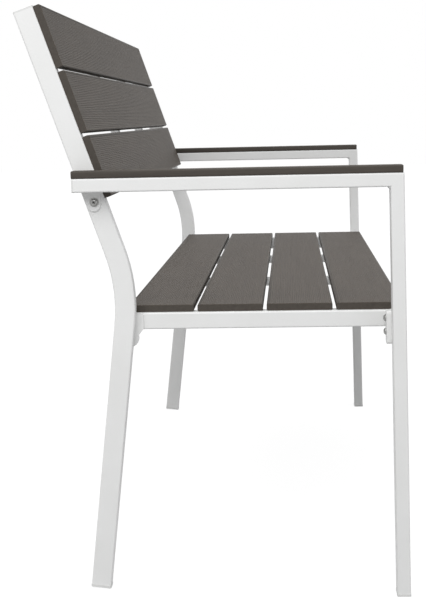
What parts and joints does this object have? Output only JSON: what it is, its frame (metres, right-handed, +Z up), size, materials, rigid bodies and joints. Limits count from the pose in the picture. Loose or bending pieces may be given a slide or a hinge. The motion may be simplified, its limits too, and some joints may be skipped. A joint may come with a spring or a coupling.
{
  "type": "garden bench",
  "caption": "Garden bench with a white bolt-together tube frame, armrests, and grey-brown composite slats on the seat, backrest and arms.",
  "frame": {"origin": "centre of the bounding box, on the ground", "axes": "X along the bench, the sitter faces -Y, Z up"},
  "size_m": [1.2408, 0.5678, 0.8801],
  "materials": {
    "white_powder_coat": "satin white powder coat on steel tube",
    "slat_composite": "brushed grey-brown wood-plastic composite",
    "cap_plastic": "moulded off-white plastic",
    "zinc_steel": "zinc-plated steel"
  },
  "bodies": {
    "root": {"left_arm_tube": "white_powder_coat", "right_arm_tube": "white_powder_coat", "left_front_leg": "white_powder_coat", "right_front_leg": "white_powder_coat", "left_rear_upright": "white_powder_coat", "right_rear_upright": "white_powder_coat", "left_arm_bracket": "white_powder_coat", "right_arm_bracket": "white_powder_coat", "arm_bolts": "zinc_steel", "arm_washers": "zinc_steel", "left_arm_end_cap": "cap_plastic", "right_arm_end_cap": "cap_plastic", "left_upright_cap": "cap_plastic", "right_upright_cap": "cap_plastic", "left_front_foot": "cap_plastic", "right_front_foot": "cap_plastic", "left_rear_foot": "cap_plastic", "right_rear_foot": "cap_plastic", "left_end_rail": "white_powder_coat", "right_end_rail": "white_powder_coat", "seat_front_rail": "white_powder_coat", "seat_rear_rail": "white_powder_coat", "left_seat_support": "white_powder_coat", "right_seat_support": "white_powder_coat", "left_front_bracket": "white_powder_coat", "right_front_bracket": "white_powder_coat", "left_rear_bracket": "white_powder_coat", "right_rear_bracket": "white_powder_coat", "left_leg_lug": "white_powder_coat", "right_leg_lug": "white_powder_coat", "front_bolts": "zinc_steel", "rear_bolts": "zinc_steel", "rail_end_caps": "cap_plastic", "front_rivet_nuts": "zinc_steel", "rear_rivet_nuts": "zinc_steel", "arm_rivet_nuts": "zinc_steel", "seat_slat_1": "slat_composite", "seat_slat_2": "slat_composite", "seat_slat_3": "slat_composite", "seat_slat_4": "slat_composite", "back_slat_1": "slat_composite", "back_slat_2": "slat_composite", "back_slat_3": "slat_composite", "left_back_batten": "white_powder_coat", "right_back_batten": "white_powder_coat", "batten_caps": "cap_plastic", "left_arm_slat": "slat_composite", "right_arm_slat": "slat_composite", "seat_slat_screws": "zinc_steel", "back_slat_screws": "zinc_steel", "arm_slat_screws": "zinc_steel"}
  },
  "joints": []
}
